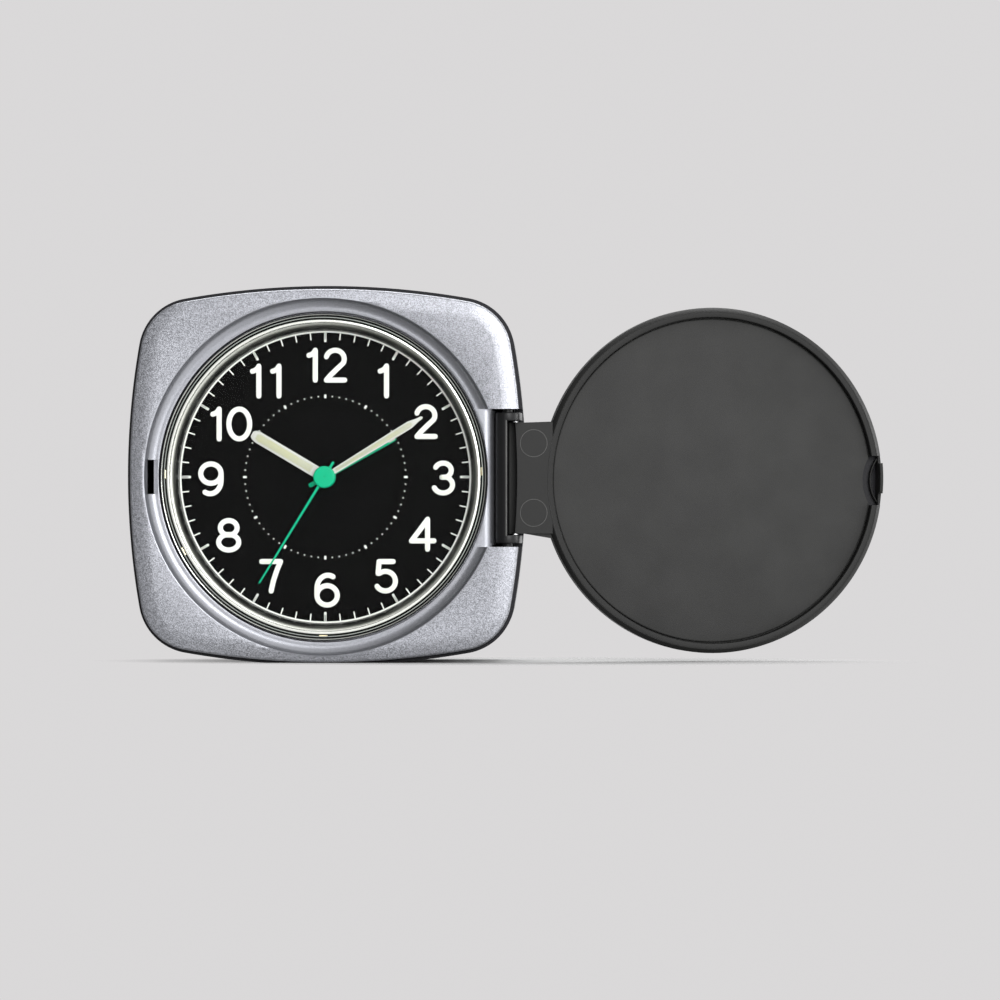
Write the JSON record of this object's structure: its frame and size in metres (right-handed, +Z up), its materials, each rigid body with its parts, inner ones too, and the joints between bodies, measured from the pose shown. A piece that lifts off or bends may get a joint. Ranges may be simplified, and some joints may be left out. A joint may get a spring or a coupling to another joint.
{
  "type": "travel alarm clock",
  "caption": "Square cushion-shaped travel alarm clock with a round dial, a quartz movement inside and a round lid folded out on a two-axis hinge.",
  "frame": {"origin": "middle of the flat foot under the case", "axes": "+Z up, the dial faces -Y, the lid is folded out towards +X"},
  "size_m": [0.1476, 0.0292, 0.0737],
  "materials": {
    "silver_paint": "metallic silver paint",
    "black_plastic": "satin",
    "dial_black": "matte, printed in white",
    "flange_black": "gloss",
    "clear_acrylic": "clear",
    "lid_grey": "satin",
    "liner_grey": "fine grain",
    "hand_green": "painted",
    "hand_white": "painted, luminous fill",
    "movement_plastic": "moulded",
    "steel": "plated",
    "stator_iron": "bare",
    "copper_wire": "enamelled wire",
    "magnet": "bonded magnet on a moulded pinion",
    "board_green": "solder resist",
    "cell_wrapper": "plain film wrapper"
  },
  "bodies": {
    "case": {"front_bezel": "silver_paint", "rear_case": "black_plastic", "crystal": "clear_acrylic", "dial_flange": "flange_black", "dial_plate": "dial_black", "movement_front_plate": "movement_plastic", "movement_middle_plate": "movement_plastic", "movement_rear_plate": "movement_plastic", "stator": "stator_iron", "coil_core": "stator_iron", "coil_bobbin": "movement_plastic", "coil_winding": "copper_wire", "circuit_board": "board_green", "driver_chip": "black_plastic", "quartz_can": "steel", "snooze_switch": "black_plastic", "buzzer": "black_plastic", "battery_cell": "cell_wrapper", "battery_plus_contact": "steel", "battery_minus_spring": "steel", "snooze_spring": "steel", "case_screw_1": "steel", "case_screw_2": "steel", "case_screw_3": "steel", "case_screw_4": "steel"},
    "seconds": {"second_hand": "hand_green", "second_wheel": "movement_plastic"},
    "third": {"third_wheel": "movement_plastic"},
    "minutes": {"minute_hand": "hand_white", "centre_wheel": "movement_plastic"},
    "time_setting": {"minute_wheel": "movement_plastic", "time_set_knob": "black_plastic"},
    "hours": {"hour_hand": "hand_white", "hour_wheel": "movement_plastic"},
    "intermediate": {"intermediate_wheel": "movement_plastic"},
    "motor": {"rotor": "magnet"},
    "alarm_setting": {"alarm_setting_pinion": "movement_plastic", "alarm_set_knob": "black_plastic"},
    "alarm": {"alarm_hand": "hand_green", "alarm_wheel": "movement_plastic"},
    "snooze": {"snooze_button": "black_plastic"},
    "switch": {"alarm_switch": "black_plastic"},
    "door": {"battery_door": "black_plastic"},
    "link": {"hinge_link": "black_plastic", "lid_pin": "steel"},
    "lid": {"lid_shell": "lid_grey", "lid_liner": "liner_grey"}
  },
  "joints": [
    {"name": "link_swing", "type": "hinge", "parent": "case", "child": "link", "pos_m": [0.03595, -0.011, 0.036], "axis": [0, 0, -1], "range_deg": [0, 113.5]},
    {"name": "lid_swing", "type": "hinge", "parent": "link", "child": "lid", "pos_m": [0.03711, -0.00665, 0.036], "axis": [0, 0, -1], "range_deg": [0, 78.5]},
    {"name": "second_spin", "type": "hinge", "parent": "case", "child": "seconds", "pos_m": [0, 0, 0.0362], "axis": [0, 1, 0], "continuous": true},
    {"name": "third_spin", "type": "hinge", "parent": "case", "child": "third", "pos_m": [0, 0, 0.0443], "axis": [0, 1, 0], "continuous": true},
    {"name": "minute_spin", "type": "hinge", "parent": "case", "child": "minutes", "pos_m": [0, 0, 0.0362], "axis": [0, 1, 0], "continuous": true},
    {"name": "time_setting_spin", "type": "hinge", "parent": "case", "child": "time_setting", "pos_m": [-0.01, 0, 0.0362], "axis": [0, 1, 0], "continuous": true},
    {"name": "hour_spin", "type": "hinge", "parent": "case", "child": "hours", "pos_m": [0, 0, 0.0362], "axis": [0, 1, 0], "continuous": true},
    {"name": "intermediate_spin", "type": "hinge", "parent": "case", "child": "intermediate", "pos_m": [0.00564, 0, 0.03056], "axis": [0, 1, 0], "continuous": true},
    {"name": "rotor_spin", "type": "hinge", "parent": "case", "child": "motor", "pos_m": [0.00834, 0, 0.02588], "axis": [0, 1, 0], "continuous": true},
    {"name": "alarm_setting_spin", "type": "hinge", "parent": "case", "child": "alarm_setting", "pos_m": [0.01, 0, 0.0362], "axis": [0, 1, 0], "continuous": true},
    {"name": "alarm_spin", "type": "hinge", "parent": "case", "child": "alarm", "pos_m": [0, 0, 0.0362], "axis": [0, 1, 0], "continuous": true},
    {"name": "snooze_press", "type": "slide", "parent": "case", "child": "snooze", "axis": [0, 0, -1], "range_m": [0, 0.001], "stiffness_N_per_m": 300, "springref_m": -0.0005, "deforming": ["snooze_spring"]},
    {"name": "alarm_switch_slide", "type": "slide", "parent": "case", "child": "switch", "axis": [1, 0, 0], "range_m": [0, 0.003]},
    {"name": "battery_door_swing", "type": "hinge", "parent": "case", "child": "door", "pos_m": [0, 0.014, 0.0055], "axis": [-1, 0, 0], "range_deg": [0, 85]}
  ],
  "couplings": [
    {"joint": "third_spin", "follows": "second_spin", "ratio": -0.125},
    {"joint": "minute_spin", "follows": "second_spin", "ratio": 0.016667},
    {"joint": "time_setting_spin", "follows": "second_spin", "ratio": -0.0055556},
    {"joint": "hour_spin", "follows": "second_spin", "ratio": 0.0013889},
    {"joint": "intermediate_spin", "follows": "second_spin", "ratio": -6},
    {"joint": "rotor_spin", "follows": "second_spin", "ratio": 30},
    {"joint": "alarm_spin", "follows": "alarm_setting_spin", "ratio": -0.33333}
  ]
}
